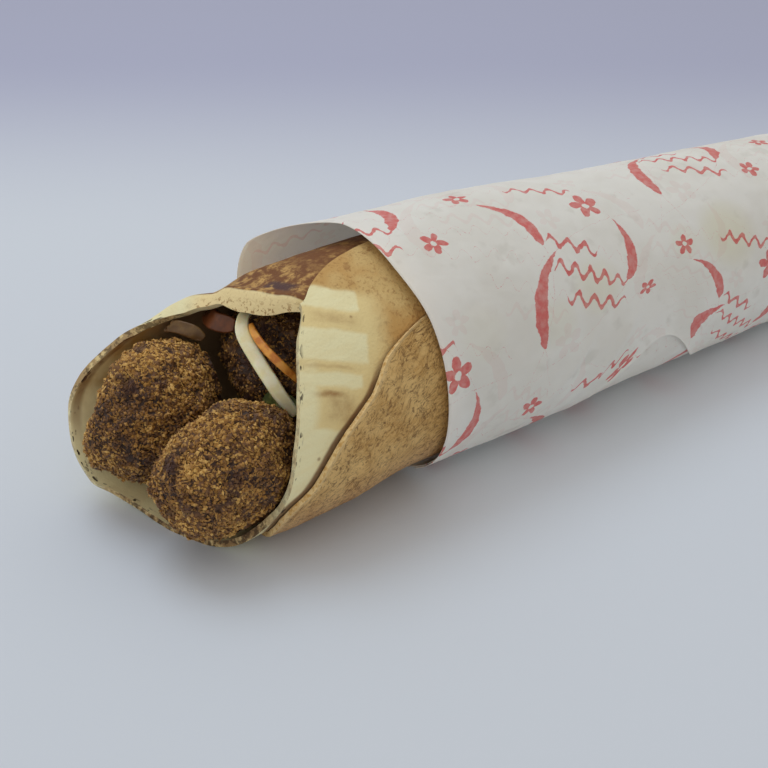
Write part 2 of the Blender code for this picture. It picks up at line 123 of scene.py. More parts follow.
class Recipe:
    # a node tree and short ways to add to it

    def __init__(self, tree):
        self.tree = tree
        self.material = self.shader = self.colour = None

    def put(self, socket, value):
        if isinstance(value, bpy.types.NodeSocket):
            self.tree.links.new(value, socket)
        else:
            socket.default_value = value

    def add(self, kind, inputs=None, output=0, **settings):
        node = self.tree.nodes.new("ShaderNode" + kind)
        for name, value in settings.items():
            setattr(node, name, value)
        for name, value in (inputs or {}).items():
            self.put(node.inputs[name], value)
        return node.outputs[output]

    def math(self, operation, a, b=0.0, clamp=False):
        return self.add("Math", {0: a, 1: b}, operation=operation, use_clamp=clamp)

    def all(self, operation, values):
        total = values[0]
        for value in values[1:]:
            total = self.math(operation, total, value)
        return total

    def plus(self, *values):
        return self.all("ADD", values)

    def times(self, *values):
        return self.all("MULTIPLY", values)

    def most(self, *values):
        return self.all("MAXIMUM", values)

    def less(self, value, taken):
        return self.math("SUBTRACT", value, taken)

    def scaled(self, place, amount):
        return self.add("VectorMath", {0: place, "Scale": amount}, operation="SCALE")

    def moved(self, place, by, operation="ADD"):
        return self.add("VectorMath", {0: place, 1: by}, operation=operation)

    def split(self, place):
        # a place's own x, y and z
        node = self.tree.nodes.new("ShaderNodeSeparateXYZ")
        self.put(node.inputs[0], place)
        return node.outputs

    def between(self, value, low, high, start=0.0, end=1.0):
        # eases from start to end while the value goes from low to high
        return self.add("MapRange", {"Value": value, "From Min": low, "From Max": high, "To Min": start,
                                     "To Max": end}, interpolation_type="SMOOTHSTEP")

    def fall(self, value, low, high):
        return self.between(value, low, high, 1.0, 0.0)

    def mix(self, amount, under, over):
        node = self.tree.nodes.new("ShaderNodeMix")
        node.data_type = "RGBA"
        self.put(node.inputs[0], amount)
        self.put(node.inputs[6], under)
        self.put(node.inputs[7], over)
        return node.outputs[2]

    def coat(self, amount, colour):
        # another colour over what is there so far
        self.colour = self.mix(amount, self.colour, colour)

    def grain(self, place, size, detail=3.0, rough=0.55, twist=0.0, stretch=(1, 1, 1)):
        # noise whose lumps are about this many millimetres across
        scaled = self.add("Mapping", {"Vector": place, "Scale": [s / size for s in stretch]})
        return self.add("TexNoise", {"Vector": scaled, "Scale": 1.0, "Detail": detail, "Roughness": rough,
                                     "Distortion": twist})

    def band(self, value, middle, half, edge):
        # one where the value is within half of the middle, easing to nothing over the edge
        off = self.math("ABSOLUTE", self.less(value, middle))
        return self.fall(off, half - edge / 2, half + edge / 2)

    def spots(self, place, spacing, size, share):
        # round dots, one in each cell, on only a share of the cells
        cell = self.tree.nodes.new("ShaderNodeTexVoronoi")
        self.put(cell.inputs["Vector"], self.scaled(place, 1.0 / spacing))
        self.put(cell.inputs["Scale"], 1.0)
        luck = self.add("SeparateColor", {"Color": cell.outputs["Color"]})
        picked = self.add("SeparateColor", {"Color": cell.outputs["Color"]}, output=1)
        past = self.less(cell.outputs["Distance"], self.times(luck, size / spacing))
        dot = self.fall(past, -0.06, 0.06)
        return self.times(dot, self.math("LESS_THAN", picked, share))


def newFinish(name, roughness, specular, soft=0.0, softDepth=(1.0, 0.6, 0.3)):
    material = bpy.data.materials.new(name)
    material.use_nodes = True
    shader = material.node_tree.nodes["Principled BSDF"]
    shader.inputs["Roughness"].default_value = roughness
    shader.inputs["Specular IOR Level"].default_value = specular
    if soft:
        shader.inputs["Subsurface Weight"].default_value = soft
        shader.inputs["Subsurface Radius"].default_value = softDepth
        shader.inputs["Subsurface Scale"].default_value = 0.001
    recipe = Recipe(material.node_tree)
    recipe.material = material
    recipe.shader = shader
    return recipe, recipe.scaled(recipe.add("TexCoord", output=3), 1 / mm)


def lay(recipe, height, depth):
    # the colour, and the fine relief that is too low for the mesh, its depth in millimetres
    recipe.put(recipe.shader.inputs["Base Color"], recipe.colour)
    relief = recipe.add("Bump", {"Height": height, "Strength": 1.0, "Distance": depth * mm})
    recipe.put(recipe.shader.inputs["Normal"], relief)
    return recipe.material


def sheetPlace(recipe):
    # a rolled sheet's own map: degrees round the roll, and millimetres along it
    parts = recipe.split(recipe.add("UVMap", uv_map="flat"))
    return recipe.times(parts[0], roll["flatWidth"]), recipe.times(parts[1], roll["flatLength"])


def flatPlace(recipe, angle, along, radius):
    # where a point lies on the unrolled sheet, in millimetres
    around = recipe.times(angle, math.radians(1) * radius)
    return recipe.add("CombineXYZ", {0: along, 1: around})


def finishPiece(bm, name, materials, node, smooth=True):
    mesh = bpy.data.meshes.new(name)
    bm.to_mesh(mesh)
    bm.free()
    piece = bpy.data.objects.new(name, mesh)
    bpy.context.scene.collection.objects.link(piece)
    for material in materials:
        mesh.materials.append(material)
    if smooth:
        mesh.shade_smooth()
    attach(piece, "root")
    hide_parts(node)
    return piece


def layGrid(columns, rows, place, toPly=None):
    # a flat grid, each point then moved to its place, with the sheet's own map kept on it
    bm = bmesh.new()
    bmesh.ops.create_grid(bm, x_segments=columns, y_segments=rows, size=0.5)
    flat = bm.loops.layers.uv.new("flat")
    beside = bm.verts.layers.float.new("toPly")
    maps = []
    for vert in bm.verts:
        point, own = place(vert.co.x + 0.5, vert.co.y + 0.5)
        vert.co = placed(point)
        if toPly:
            vert[beside] = point.x - toPly(own[0])
        maps.append((own[0] / roll["flatWidth"], own[1] / roll["flatLength"]))
    bm.verts.index_update()
    for face in bm.faces:
        for loop in face.loops:
            loop[flat].uv = maps[loop.vert.index]
    return bm


def giveWall(piece, thickness, inside=1, rim=2, rounding=0.0):
    wall = piece.modifiers.new("wall", "SOLIDIFY")
    wall.thickness = thickness * mm
    wall.offset = -1.0
    wall.material_offset = inside
    wall.material_offset_rim = rim
    if rounding:
        edge = piece.modifiers.new("edge", "BEVEL")
        edge.width = rounding * mm
        edge.segments = 3
        edge.profile = 0.5
        edge.limit_method = "ANGLE"
        edge.angle_limit = math.radians(55)
        edge.use_clamp_overlap = True


def evenAlong(outline, low, high, count, samples=600):
    # angles that split a rolled sheet's front edge into equal steps
    fine = [low + (high - low) * i / samples for i in range(samples + 1)]
    spots = [onRoll(outline(a), a, roll["breadSheet"], 0.0) for a in fine]
    reach = [0.0]
    for near, far in zip(spots, spots[1:]):
        reach.append(reach[-1] + (far - near).length)
    angles = []
    for i in range(count + 1):
        goal = reach[-1] * i / count
        k = min(max(bisect_right(reach, goal) - 1, 0), samples - 1)
        angles.append(fine[k] + (fine[k + 1] - fine[k]) * (goal - reach[k]) / (reach[k + 1] - reach[k]))
    return angles


sleeveRadius = smoothCurve(roll["radius"])
bread = {
    "columns": 250,
    "rows": 120,
    "inset": 3.8,               # under the sleeve's outside, in millimetres
    "thickness": 1.8,
    "lap": 2.2,                 # how much further in each turn lies
    "fullAngle": 60.0,
    "endAngle": 420.0,
    # the front edge: angle, and its place along the roll
    "rim": ((24, 11.5), (40, 6.4), (56, 2.8), (71, 0.2), (88, -2.2), (108, -4.3), (125, -7.1),
            (146, -12.5), (179, -21), (202, -24.8), (215, -28), (224, -31.8), (241, -33.4), (260, -31.7),
            (275, -27.5), (290, -18), (298, -10), (306, -3.5), (317, 1.3), (342, 4.4), (366, 7.0),
            (378, 10.0), (392, 15.0), (420, 19)),
    # the flap's free edge: place along the roll, and angle
    "flapEdge": ((11.5, 24), (16.5, 17), (20.7, 11.7), (26.7, 6), (31, 3.8), (38.4, 1.2), (60, 0)),
    "flapReach": 5,             # how much the flap's edge alone follows that, as a power
    "axis": ((-35, 29.9), (-12, 30.2), (5, 31.6), (45, 32.95), (60, 32.95)),
    # the lip spans the mouth nearly straight, and its edge curls in over a bead
    "lipAngle": 349.0,
    "lipHalf": 75.0,
    "lipChord": 24.9,           # how high over the axis it runs at the mouth
    "lipAlong": (5.0, 44.0),    # where along the roll it rises clear of the round
    "lipClear": 4.0,
    "lipCorner": 1.2,
    "lipFrom": (292, 310),
    "lipTo": (372, 392),
    "lipSlack": (320, 14, 0.48),
    "curl": 4.4,
    "curlLength": 3.6,
    "bead": 1.2,
    "beadPlace": 2.4,
    # angle, width and height, and where along the roll it has gone and is full
    "bulges": ((258, 36, 3.0, 16, -16), (148, 26, 2.6, 0, -14), (219, 17, 2.6, 2, -20),
               (304, 16, 1.6, 22, -5), (321, 15, -3.0, 15, 6)),
    "bulge": 2.65,
    "blisterHeight": 0.28,
    "windingShift": 0.05,       # keeps the blisters of one turn off those of the next
    "rimRounding": 0.5,
}
# the near flank swells out in front of the sleeve: angle, width, and where it starts and ends
flank = {"angle": 130.0, "width": 45.0, "start": (-14, 2), "end": (14, 38)}
breadRim = smoothCurve(bread["rim"])
flapEdge = smoothCurve(bread["flapEdge"])
breadAxis = smoothCurve(bread["axis"])


def axisHeight(x):
    underside = roll["lap"] * (sleeve["end"] + 180.0) / 360.0
    return sleeveRadius(x) - underside - roll["flattened"]


def breadHeight(x):
    return breadAxis(x) if x < bread["axis"][-1][0] else axisHeight(x)


def swelling(angle, x):
    along = smoothStep(*flank["start"], x) * (1 - smoothStep(*flank["end"], x))
    return bell(angle, flank["angle"], flank["width"]) * along


def breadRadius(angle, x):
    radius = sleeveRadius(x) - bread["inset"] - bread["lap"] * (angle - bread["fullAngle"]) / 360.0
    for centre, width, height, fade, full in bread["bulges"]:
        radius += height * bell(angle, centre, width) * (1 - smoothStep(full, fade, x))
    radius += bread["bulge"] * swelling(angle, x)
    fromLip = angle - bread["lipAngle"]
    if abs(fromLip) < bread["lipHalf"]:
        clear = radius + bread["lipClear"] - bread["lipChord"]
        chord = bread["lipChord"] + clear * smoothStep(*bread["lipAlong"], x)
        radius = softMin(radius, chord / math.cos(math.radians(fromLip)), bread["lipCorner"])
    return radius


def plyFloor(x):
    # towards the paper the bread lies clear of the table
    low, high, rise = ply["offTable"]
    return rise * smoothStep(low, high, x)


def blisters(angle, x):
    # low swellings that run along the roll, and finer unevenness
    spot = flatSpot(x, angle, roll["breadSheet"], angle * bread["windingShift"])
    wide = noise.noise(Vector((spot.x / 26, spot.y / 8, spot.z / 8)))
    fine = noise.noise(spot / 4.2)
    return bread["blisterHeight"] * (wide + 0.45 * fine)


def breadPoint(angle, x):
    toRim = x - breadRim(angle)
    curl = bread["curl"] * max(1 - toRim / bread["curlLength"], 0.0) ** 2
    curl -= bread["bead"] * bell(toRim, bread["beadPlace"], bread["beadPlace"])
    curl *= smoothStep(*bread["lipFrom"], angle) * (1 - smoothStep(*bread["lipTo"], angle))
    curl *= 1 - bread["lipSlack"][2] * bell(angle, *bread["lipSlack"][:2])
    radius = breadRadius(angle, x) - curl + blisters(angle, x)
    point = onRoll(x, angle, radius, breadHeight(x))
    point.z = max(point.z, plyFloor(x) + (ply["thickness"] + ply["gap"]) * smoothStep(*ply["under"], x))
    return point


def towardTail(v):
    even, power = roll["rimRows"]
    return even * v + (1 - even) * v ** power


def makeFlatbread(materials):
    angles = evenAlong(breadRim, bread["rim"][0][0], bread["endAngle"], bread["columns"])
    tail = roll["breadTail"]

    def place(u, v):
        angle = angles[round(u * bread["columns"])]
        start = breadRim(angle)
        x = start + (tail - start) * towardTail(v)
        angle += (flapEdge(x) - bread["flapEdge"][0][1]) * (1 - u) ** bread["flapReach"]
        return breadPoint(angle, x), (angle, x - start)
    bm = layGrid(bread["columns"], bread["rows"], place, plyEdge)
    piece = finishPiece(bm, "rolledFlatbread", materials, "flatbread")
    giveWall(piece, bread["thickness"], rounding=bread["rimRounding"])
    print("flatbread rolled")


ply = {
    "columns": 130,
    "rows": 84,
    "inset": 1.95,
    "thickness": 1.3,
    "gap": 0.35,
    "under": (-13, -6),         # the bread comes to rest on it here
    "offTable": (10, 30, 0.85),
    "bulge": 2.2,
    "standOff": 0.25,           # how far its front edge stands off, and over what length
    "standLength": 8.0,
    "edge": ((48, 43), (50.5, 38), (57, 29.3), (61.5, 25.3), (68.5, 22), (73.5, 19.5), (77.5, 16.4),
             (86.5, 9.8), (99, 3.8), (105.5, 1.2), (109, -0.9), (115, -3.9), (122, -5.6), (132, -6),
             (142, -5), (160, -3), (180, -1), (200, 3), (215, 11), (228, 26), (235, 45)),
    "grainHeight": 0.16,
    "smoothFrom": (20, 34),     # its grain fades under the paper
    "rimRounding": 0.4,
}
plyEdge = smoothCurve(ply["edge"])


def plyPoint(angle, x, lift):
    radius = sleeveRadius(x) - ply["inset"] + lift
    radius += ply["bulge"] * swelling(angle, x)
    spot = flatSpot(x, angle, roll["breadSheet"])
    fade = 1 - smoothStep(*ply["smoothFrom"], x)
    radius += fade * ply["grainHeight"] * (noise.noise(spot / 3.1) + 1.4 * noise.noise(spot / 11) - 0.4)
    point = onRoll(x, angle, radius, breadHeight(x))
    point.z = max(point.z, plyFloor(x))
    return point


def makeOuterPly(materials):
    edge = ply["edge"]
    angles = evenAlong(plyEdge, edge[0][0], edge[-1][0], ply["columns"])

    def place(u, v):
        angle = angles[round(u * ply["columns"])]
        start = plyEdge(angle)
        x = start + (roll["breadTail"] - start) * towardTail(v)
        loose = max(1 - (x - start) / ply["standLength"], 0.0) ** 2 * (1 - smoothStep(24, 32, x))
        return plyPoint(angle, x, ply["standOff"] * loose), (angle, x - start)
    bm = layGrid(ply["columns"], ply["rows"], place)
    piece = finishPiece(bm, "toastedOuterPly", materials, "flatbread_outer_ply")
    giveWall(piece, ply["thickness"], rounding=ply["rimRounding"])
    print("outer ply wrapped")


sleeve = {
    "columns": 262,
    "rows": 164,
    "start": -300.0,
    "end": 150.0,
    "outerFrom": 60.0,          # the free outer layer begins to show at this angle
    "shoulder": 206.0,
    "thickness": 0.14,
    "lap": 0.45,
    "rim": ((-300, 43), (-254, 43), (-210, 42), (-180, 41), (-150, 36.5), (-120, 28), (-68, 20),
            (-50, 20.5), (-38, 26), (-25, 32), (-9, 36), (24, 36.2), (55, 38.6), (90, 39.4), (150, 42)),
    "proud": 3.6,               # the collar stands away from the bread round this angle
    "proudAngle": -48.0,
    "notchDepth": 52.0,         # degrees that the free edge dips back by
    "notchPlace": 116.0,
    "notchWidth": 22.0,
    "notchLift": 0.5,
    "swells": ((21, 0.30), (9, 0.12)),
    "folds": 0.16,
    "creases": ((69.5, 0.55), (84.0, 0.8), (99.5, 0.7)),     # each runs down the near side: place, height
    "straightShare": 0.86,      # of its rows, and of the tail's rows the part that turns the shoulder
    "shoulderShare": 3 / 7,
    "shoulderRadius": 8.0,
    "tailSheet": 32.0,
    "tuckHole": 2.4,
    "tuckDish": 3.0,
    "pleats": 9,
    "pleatDepth": 1.1,
    "tuckTwist": 34.0,
}
sleeveRim = smoothCurve(sleeve["rim"])


def paperRelief(angle, x):
    # what lies under the paper swells it, and handling creases it
    spot = flatSpot(x, angle, roll["paperSheet"])
    height = sum(rise * noise.noise(spot / size) for size, rise in sleeve["swells"])
    folds = 1 - abs(noise.noise(Vector((spot.x / 17, spot.y / 9, spot.z / 9)))) * 2.2
    height += sleeve["folds"] * max(folds, 0.0) ** 6
    side = (angle + 180.0) % 360.0 - 180.0
    for across, rise in sleeve["creases"]:
        line = x + 0.45 * (side - 90)
        height += rise * bell(line, across, 2.0) * bell(side, 100, 20)
        height -= 0.5 * rise * bell(line, across + 3.6, 2.6) * bell(side, 100, 20)
    return height * smoothStep(sleeveRim(angle) - 1, sleeveRim(angle) + 12, x)


def sleeveTail(w, angle, inset):
    # round the shoulder, then flat across the tail to the tuck
    flat = sleeveRadius(sleeve["shoulder"]) - sleeve["shoulderRadius"]
    depth = sleeve["shoulderRadius"] - inset
    turned = sleeve["shoulderShare"]
    if w <= turned:
        bend = math.radians(90.0) * w / turned
        radius = flat + depth * math.cos(bend)
        x = sleeve["shoulder"] + depth * math.sin(bend)
    else:
        t = (w - turned) / (1 - turned)
        radius = flat + (sleeve["tuckHole"] - flat) * t
        x = sleeve["shoulder"] + depth - sleeve["tuckDish"] * smoothStep(0, 1, t)
    wave = math.cos(math.radians(angle * sleeve["pleats"]))
    pleat = sleeve["pleatDepth"] * math.sin(math.pi * w) ** 2 * wave
    facing = math.pi / 2 * min(w / turned, 1.0)
    x += pleat * math.sin(facing)
    radius += pleat * math.cos(facing)
    return x, radius, angle + sleeve["tuckTwist"] * w * w


def makeSleeve(materials):
    share = sleeve["straightShare"]

    def place(u, v):
        angle = sleeve["start"] + (sleeve["end"] - sleeve["start"]) * u
        inset = sleeve["lap"] * (sleeve["end"] - angle) / 360.0
        own = angle - sleeve["start"]
        if v > share:
            w = (v - share) / (1 - share)
            x, radius, angle = sleeveTail(w, angle, inset)
            alongSheet = sleeve["shoulder"] + sleeve["tailSheet"] * w
            height = axisHeight(sleeve["shoulder"])
        else:
            start = sleeveRim(angle)
            x = start + (sleeve["shoulder"] - start) * v / share
            alongSheet = x
            outer = max((angle - sleeve["outerFrom"]) / (sleeve["end"] - sleeve["outerFrom"]), 0.0)
            notch, reach = sleeve["notchPlace"], sleeve["notchWidth"]
            angle -= sleeve["notchDepth"] * outer * bell(x, notch, reach)
            radius = sleeveRadius(x) - inset
            radius += sleeve["notchLift"] * outer * bell(x, notch, 1.6 * reach)
            radius += sleeve["proud"] * bell(angle, sleeve["proudAngle"], 30) * bell(x, 14, 26)
            radius += paperRelief(angle, x) * (1 - smoothStep(0.9, 1.0, v / share))
            height = axisHeight(x)
        point = onRoll(x, angle, radius, height)
        point.z = max(point.z, 0.0)
        return point, (own, alongSheet)
    bm = layGrid(sleeve["columns"], sleeve["rows"], place)
    piece = finishPiece(bm, "paperSleeve", materials, "paper_sleeve")
    giveWall(piece, sleeve["thickness"], rim=0)
    print("paper sleeve wound")


falafels = {
    # pressed: where it was pressed in or bulges out, as a direction, how far, and how wide in radians
    # scorched: a dark patch, the same way
    # shade: painted shade, how much darker the whole crust is painted for the shadow it lies in inside the
    # roll
    "falafel_1": {"centre": (-14.8, 17.4, 24.4), "half": (17.8, 15.6, 18.2), "fine": 7, "seed": 3.1,
                  "crumbs": 8200, "shade": 0.0, "scorched": ((-0.49, -0.70, 0.52), 0.42, 0.5),
                  "pressed": (((-0.62, 0.66, 0.42), -5.8, 0.6), ((-0.81, 0.28, -0.51), 3.4, 0.4),
                              ((0.78, -0.11, 0.60), 1.8, 0.4))},
    "falafel_2": {"centre": (-11.9, -12.8, 22.4), "half": (16.9, 15.6, 17.2), "fine": 7, "seed": 11.7,
                  "crumbs": 8200, "shade": 0.0, "scorched": ((-0.08, -0.82, 0.57), 0.36, 0.4),
                  "pressed": (((-0.30, 0.69, 0.66), -7.0, 0.5), ((0.83, -0.21, 0.51), 3.6, 0.4),
                              ((-0.90, 0.30, -0.10), 1.4, 0.35))},
    "falafel_3": {"centre": (19.0, 8.0, 33.5), "half": (15.5, 18.0, 16.0), "fine": 6, "seed": 23.4,
                  "crumbs": 3400, "shade": 0.2, "scorched": ((0, 0, -1), 0.3, 0.5),
                  "pressed": ()},
}
crust = {
    "lump": 1.3,
    "crag": 1.0,
    "grains": ((3.1, 1.15), (1.5, 0.75)),     # spacing and height of the lumps that are part of the crust
    "sunk": 0.35,                             # how far the crust's own lumps start below the solid
    "clearance": 0.4,
    "front": 28.0,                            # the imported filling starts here
    "flake": (0.34, 0.85),                    # half the length of the crumbs that lie on it
    "toMouth": (-0.75, -0.25, 0.61),          # crumbs lie on the side that faces this way
    "covered": -0.35,
    # dark to pale follow how far the crust stands out: the dark end is painted shade in the crevices, and
    # golden and pale are painted highlight on raised lumps and crumbs
    "dark": shade(60, 40, 30),
    "brown": shade(120, 83, 48),
    "golden": shade(172, 125, 60),
    "pale": shade(220, 176, 98),
    "scorched": shade(72, 44, 38),
}


def boreRadius(angle, x):
    unrolled = bread["fullAngle"] + (angle - bread["fullAngle"]) % 360.0
    return breadRadius(unrolled, x) - bread["thickness"] - crust["clearance"]


def keepInBore(point, margin=0.3):
    height = breadHeight(point.x)
    y, z = point.y, point.z - height
    angle = math.degrees(math.atan2(-y, z)) % 360.0
    radius = math.hypot(y, z)
    limit = min(boreRadius(angle + turn, point.x) for turn in (-4.0, 0.0, 4.0)) - margin
    if radius > limit:
        point.y *= limit / radius
        point.z = height + z * limit / radius
    point.z = max(point.z, bread["thickness"] + crust["clearance"])
    return point


def pressedApart(point, centre, other):
    # how far a point lies past the plane where two falafels press on each other
    across = (Vector(other) - Vector(centre)).normalized()
    middle = (Vector(other) + Vector(centre)) / 2
    return across, (point - middle).dot(across) + crust["clearance"] / 2


def lumpy(out, look):
    place = out + Vector((look["seed"], 0, 0))
    swell = crust["lump"] * noise.noise(place * 1.6) + crust["crag"] * noise.noise(place * 4.5)
    swell += 0.5 * crust["crag"] * noise.noise(place * 9.0)
    for direction, height, width in look["pressed"]:
        swell += height * bell(out.angle(Vector(direction)), 0.0, width)
    return swell


def gritty(spot):
    grit = 0.0
    for spacing, height in crust["grains"]:
        nearest = noise.voronoi(spot / spacing)[0]
        grit += height * (0.5 - nearest[0])
    return grit + 0.3 * noise.noise(spot / 0.8)


def friedAndShaded(out, look):
    # golden on top and darker lower down, which is painted shade; darker in the crust's own patches and
    # scorched spots; and darker all over by its shade value, which is painted shade too
    toneAndShade = -0.22 * (1 - smoothStep(0.1, 0.85, out.z)) + 0.5 * noise.noise(out * 2.3)
    direction, depth, width = look["scorched"]
    return toneAndShade - depth * bell(out.angle(Vector(direction)), 0.0, width) - look["shade"]


def makeFalafel(name, material):
    look = falafels[name]
    centre = Vector(look["centre"])
    neighbours = [other["centre"] for key, other in falafels.items() if key != name]
    picker = random.Random(int(look["seed"] * 10))
    toMouth = Vector(crust["toMouth"])
    bm = bmesh.new()
    bmesh.ops.create_icosphere(bm, subdivisions=look["fine"], radius=1.0)
    rise = bm.verts.layers.float.new("rise")
    toneAndShade = bm.verts.layers.float.new("toneAndShade")
    shown = []
    for vert in bm.verts:
        out = vert.co.normalized()
        swell = lumpy(out, look)
        point = centre + Vector([o * (h + swell) for o, h in zip(out, look["half"])])
        touching = False
        for other in neighbours:
            across, beyond = pressedApart(point, look["centre"], other)
            if beyond > 0:
                point -= across * beyond
                touching = True
        if name == "falafel_3":
            point.x = min(point.x, crust["front"] - crust["clearance"])
        point = keepInBore(point)
        grit = gritty(point)
        if not touching:
            point += out * (grit - crust["sunk"])
        vert.co = placed(point)
        # how far the point stands out: the crevices are painted darker (painted shade) and the raised
        # lumps lighter (painted highlight)
        vert[rise] = 0.45 + 0.45 * grit
        vert[toneAndShade] = friedAndShaded(out, look)
        if not touching and out.dot(toMouth) > crust["covered"]:
            shown.append((point, out))
    spots = picker.sample(shown, min(look["crumbs"], len(shown)))
    addCrumbs(bm, spots, picker, rise, toneAndShade, look)
    finishPiece(bm, name.replace("_", "") + "Crust", [material], name, smooth=False)
    print(name, "with", len(spots), "crumbs")


def crumbShape(picker):
    # half sizes of a grain, a flake or a shred
    low, high = crust["flake"]
    size = low + (high - low) * picker.random() ** 1.8
    kind = picker.random()
    if kind < 0.55:
        return size * 0.8, size * picker.uniform(0.55, 0.8), size * picker.uniform(0.45, 0.75)
    if kind < 0.9:
        return size * 1.2, size * picker.uniform(0.4, 0.7), size * 0.34
    return size * 1.9, size * 0.28, size * 0.24


def addCrumbs(bm, spots, picker, rise, toneAndShade, look):
    # joined copies of one eight-sided chip, each stretched and turned its own way
    chip = bmesh.new()
    bmesh.ops.create_uvsphere(chip, u_segments=4, v_segments=2, radius=1.0)
    size = len(chip.verts)
    chipMesh = bpy.data.meshes.new("chip")
    chip.to_mesh(chipMesh)
    chip.free()
    first = len(bm.verts)
    for _ in spots:
        bm.from_mesh(chipMesh)
    bm.verts.ensure_lookup_table()
    for number, (spot, out) in enumerate(spots):
        stretch = crumbShape(picker)
        turn = Matrix.Rotation(picker.uniform(0, 2 * math.pi), 4, "Z")
        lean = Matrix.Rotation(picker.gauss(0, 0.4), 4, "Y")
        face = out.to_track_quat("Z", "Y").to_matrix().to_4x4()
        shape = (Matrix.Translation(spot + out * stretch[2] * 0.4) @ face @ turn @ lean
                 @ Matrix.Diagonal((*stretch, 1.0)))
        glow = picker.random()
        for vert in bm.verts[first + number * size:first + (number + 1) * size]:
            dent = 1 + 0.5 * noise.noise(vert.co * 1.7 + spot * 3.1)
            vert.co = placed(shape @ (vert.co * dent))
            # crumbs stand out, so they take the lighter colour: painted highlight
            vert[rise] = 0.72
            vert[toneAndShade] = glow + friedAndShaded(out, look)
    bpy.data.meshes.remove(chipMesh)


strips = {
    "onion_strip": {"path": ((9.6, 8.8, 49.2), (7.2, 7.6, 48.6), (5.2, 4.8, 46.3), (5.2, -0.5, 42.5),
                             (5.6, -7.1, 38.3), (6.7, -10.3, 34.6), (9, -12.7, 30.3)),
                    "width": 3.7, "thickness": 1.3, "steps": 44, "across": 6, "wave": 0.0,
                    "finish": ("onionFlesh", shade(255, 248, 214), shade(246, 236, 186), 3.0, 0.35, 0.3)},
    "carrot_strip": {"path": ((7.6, 4.0, 47.4), (6.8, 1.4, 46.9), (6.5, -3.6, 45.4), (8, -8.4, 42.6),
                              (11.5, -10.3, 37.9)),
                     "width": 2.2, "thickness": 1.7, "steps": 30, "across": 4, "wave": 0.0,
                     "finish": ("carrotFlesh", shade(240, 170, 74), shade(206, 124, 44), 2.0, 0.4, 0.3)},
    # its colours are darkened to brown for the shadow it lies in under the lip: painted shade
    "tomato_piece": {"path": ((6, 22, 43.0), (4.2, 17.5, 44.4), (4.4, 13, 45.4), (6.5, 9.2, 45.8)),
                     "width": 5.0, "thickness": 2.0, "steps": 26, "across": 8, "wave": 0.0,
                     "finish": ("tomatoFlesh", shade(114, 62, 30), shade(90, 48, 24), 2.5, 0.35, 0.0)},
    "lettuce_leaf": {"path": ((6.2, -2.4, 29.2), (7.8, -6.0, 31.0), (9.0, -9.0, 31.0),
                              (10.0, -11.0, 28.6)),
                     "width": 5.0, "thickness": 0.7, "steps": 36, "across": 14, "wave": 0.8,
                     "finish": ("lettuceBlade", shade(132, 140, 76), shade(84, 96, 50), 2.0, 0.4, 0.3)},
    # its colours are browned and darkened for the shadow it lies in: painted shade
    "cabbage_shred": {"path": ((-6.5, 25.5, 42.6), (-4, 21.6, 43.2), (-1.8, 18.2, 42.8),
                               (0.2, 16.6, 40.6)),
                      "width": 3.6, "thickness": 0.8, "steps": 28, "across": 6, "wave": 0.6,
                      "finish": ("cabbageBlade", shade(120, 90, 48), shade(102, 73, 40), 2.4, 0.4, 0.3)},
}
stripFacing = Vector((-0.5, -0.7, 0.5))


def pathPoints(path, count):
    # evenly spread points on a smooth line through a path's own points
    knots = [Vector(p) for p in path]
    reach = [0.0]
    for near, far in zip(knots, knots[1:]):
        reach.append(reach[-1] + (far - near).length)
    last = len(knots) - 1
    tangents = []
    for i in range(last + 1):
        a, b = max(i - 1, 0), min(i + 1, last)
        tangents.append((knots[b] - knots[a]) / (reach[b] - reach[a]))
    points = []
    for k in range(count + 1):
        s = reach[-1] * k / count
        i = min(bisect_right(reach, s) - 1, last - 1)
        step = reach[i + 1] - reach[i]
        t = (s - reach[i]) / step
        points.append(knots[i] * ((1 + 2 * t) * (1 - t) ** 2) + tangents[i] * (t * (1 - t) ** 2 * step)
                      + knots[i + 1] * (t * t * (3 - 2 * t)) + tangents[i + 1] * (t * t * (t - 1) * step))
    return points


def makeStrip(name):
    look = strips[name]
    material = freshFinish(*look["finish"])     # its name, light and dark, vein size, roughness, softness
    steps = look["steps"]
    line = pathPoints(look["path"], steps)

    def place(u, v):
        i = round(u * steps)
        ahead = (line[min(i + 1, steps)] - line[max(i - 1, 0)]).normalized()
        side = ahead.cross(stripFacing).normalized()
        front = side.cross(ahead).normalized()
        taper = 1.0 - 0.45 * abs(2 * u - 1) ** 4
        ripple = look["wave"] * math.sin(u * 9.0 + v * 4.0) * (v - 0.3)
        point = line[i] + side * (v - 0.5) * look["width"] * taper + front * ripple
        return keepInBore(point, look["thickness"] + 0.5), (u * 100, v * 100)
    bm = layGrid(steps, look["across"], place)
    slot = name.split("_")[0]
    piece = finishPiece(bm, slot + "Piece", [material], name)
    giveWall(piece, look["thickness"], inside=0, rim=0)
    soften = piece.modifiers.new("soften", "SUBSURF")
    soften.levels = 1
    soften.render_levels = 1
    print(name, "laid in")


